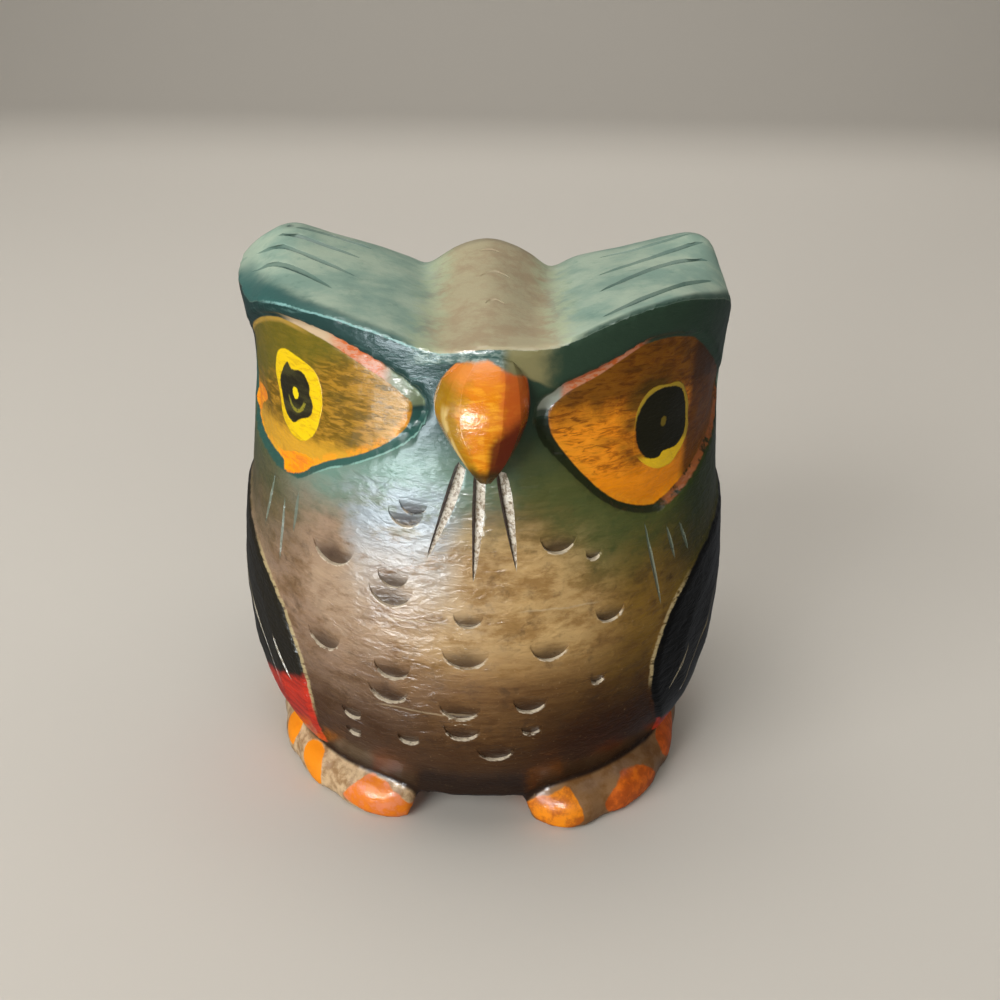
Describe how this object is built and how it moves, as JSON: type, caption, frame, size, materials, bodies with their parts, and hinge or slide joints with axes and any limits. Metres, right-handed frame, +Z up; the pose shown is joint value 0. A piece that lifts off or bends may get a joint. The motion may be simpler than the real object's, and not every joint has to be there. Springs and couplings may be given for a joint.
{
  "type": "carved wooden owl figure",
  "caption": "small painted owl carved from one turned block of wood, with raised ear tufts, sunken eye patches, folded wings and two toed feet",
  "frame": {"origin": "on the underside, on the axis the blank was turned about", "axes": "+Z up, the face looks along -Y, +X to the right of someone facing the owl"},
  "size_m": [0.0862, 0.0897, 0.0906],
  "materials": {
    "painted_wood": "painted and varnished, satin gloss"
  },
  "bodies": {
    "root": {"carved_owl": "painted_wood"}
  },
  "joints": []
}
